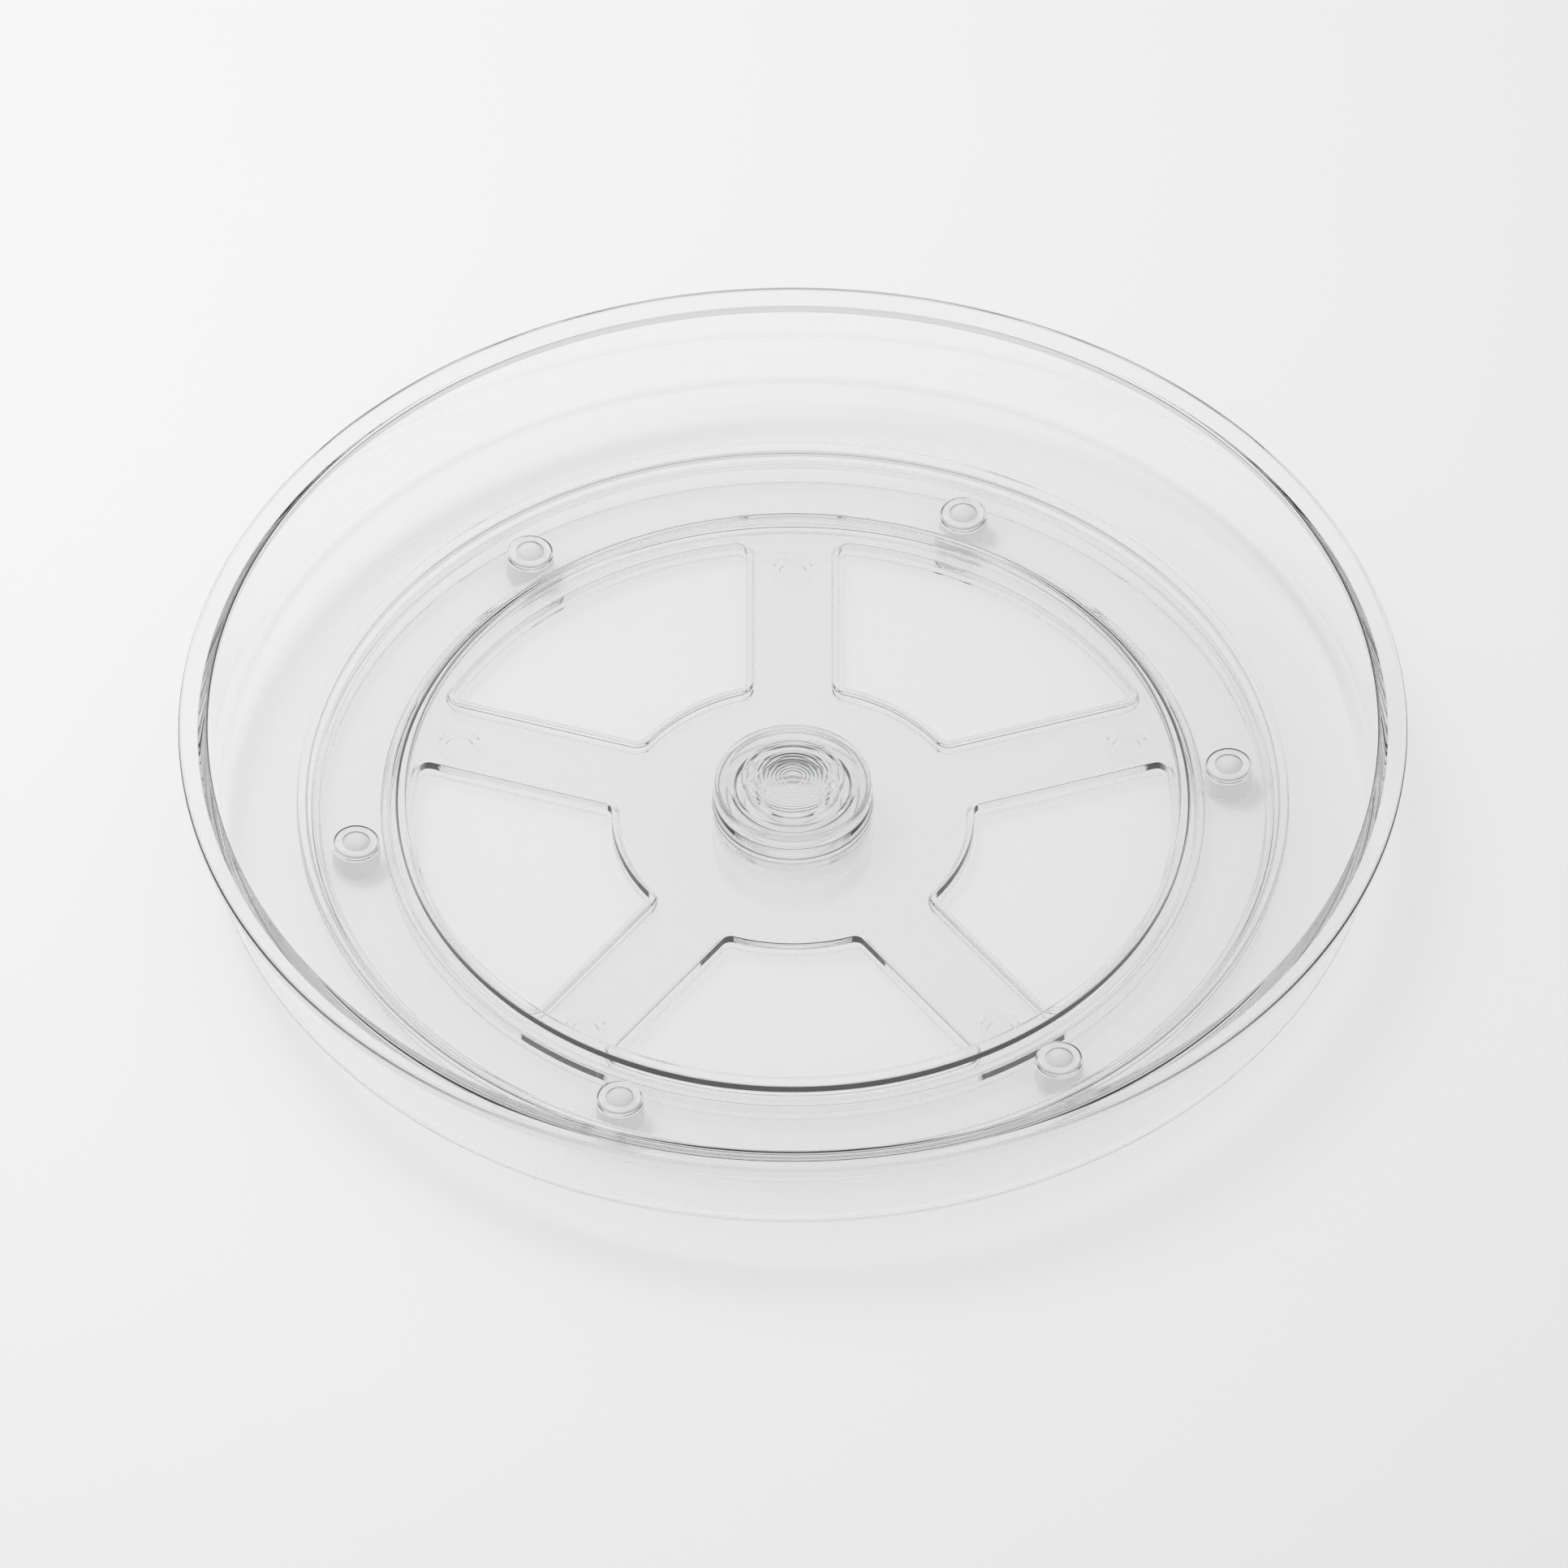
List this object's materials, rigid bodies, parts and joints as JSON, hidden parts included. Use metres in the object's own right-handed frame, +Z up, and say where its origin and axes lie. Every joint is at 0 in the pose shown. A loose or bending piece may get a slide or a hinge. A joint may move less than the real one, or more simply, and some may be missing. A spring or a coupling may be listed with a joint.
{
  "type": "turntable tray",
  "caption": "Clear moulded round tray with a rim and a raised ring in its floor, turning on balls held in a spoked base.",
  "frame": {"origin": "on the table, under the middle of the tray", "axes": "+Z up along the turning axis; +Y towards the first spoke of the base"},
  "size_m": [0.3, 0.3, 0.0386],
  "materials": {
    "clear_tray": "clear polished moulding",
    "clear_base": "clear polished moulding",
    "clear_cap": "clear, finely frosted rings",
    "washer": "clear natural plastic",
    "cup": "milky natural plastic",
    "ball": "translucent milky plastic",
    "foot": "clear soft silicone"
  },
  "bodies": {
    "base": {"base_wheel": "clear_base", "pivot_cap": "clear_cap", "thrust_washer": "washer", "ball_cup_1": "cup", "ball_cup_2": "cup", "ball_cup_3": "cup", "ball_cup_4": "cup", "ball_cup_5": "cup", "ball_cup_6": "cup", "foot_pad_1": "foot", "foot_pad_2": "foot", "foot_pad_3": "foot", "foot_pad_4": "foot", "foot_pad_5": "foot"},
    "tray": {"tray": "clear_tray"},
    "ball_1": {"ball_1": "ball"},
    "ball_2": {"ball_2": "ball"},
    "ball_3": {"ball_3": "ball"},
    "ball_4": {"ball_4": "ball"},
    "ball_5": {"ball_5": "ball"},
    "ball_6": {"ball_6": "ball"}
  },
  "joints": [
    {"name": "tray_spin", "type": "hinge", "parent": "base", "child": "tray", "pos_m": [0, 0, 0.0108], "axis": [0, 0, 1], "continuous": true},
    {"name": "ball_1_roll", "type": "hinge", "parent": "base", "child": "ball_1", "pos_m": [0.1067, 0.0131, 0.0069], "axis": [0.9925, 0.1219, 0], "continuous": true},
    {"name": "ball_2_roll", "type": "hinge", "parent": "base", "child": "ball_2", "pos_m": [0.042, 0.09895, 0.0069], "axis": [0.3907, 0.9205, 0], "continuous": true},
    {"name": "ball_3_roll", "type": "hinge", "parent": "base", "child": "ball_3", "pos_m": [-0.0647, 0.08585, 0.0069], "axis": [-0.6018, 0.7986, 0], "continuous": true},
    {"name": "ball_4_roll", "type": "hinge", "parent": "base", "child": "ball_4", "pos_m": [-0.1067, -0.0131, 0.0069], "axis": [-0.9925, -0.1219, 0], "continuous": true},
    {"name": "ball_5_roll", "type": "hinge", "parent": "base", "child": "ball_5", "pos_m": [-0.042, -0.09895, 0.0069], "axis": [-0.3907, -0.9205, 0], "continuous": true},
    {"name": "ball_6_roll", "type": "hinge", "parent": "base", "child": "ball_6", "pos_m": [0.0647, -0.08585, 0.0069], "axis": [0.6018, -0.7986, 0], "continuous": true}
  ],
  "couplings": [
    {"joint": "ball_1_roll", "follows": "tray_spin", "ratio": -26.875},
    {"joint": "ball_2_roll", "follows": "tray_spin", "ratio": -26.875},
    {"joint": "ball_3_roll", "follows": "tray_spin", "ratio": -26.875},
    {"joint": "ball_4_roll", "follows": "tray_spin", "ratio": -26.875},
    {"joint": "ball_5_roll", "follows": "tray_spin", "ratio": -26.875},
    {"joint": "ball_6_roll", "follows": "tray_spin", "ratio": -26.875}
  ]
}
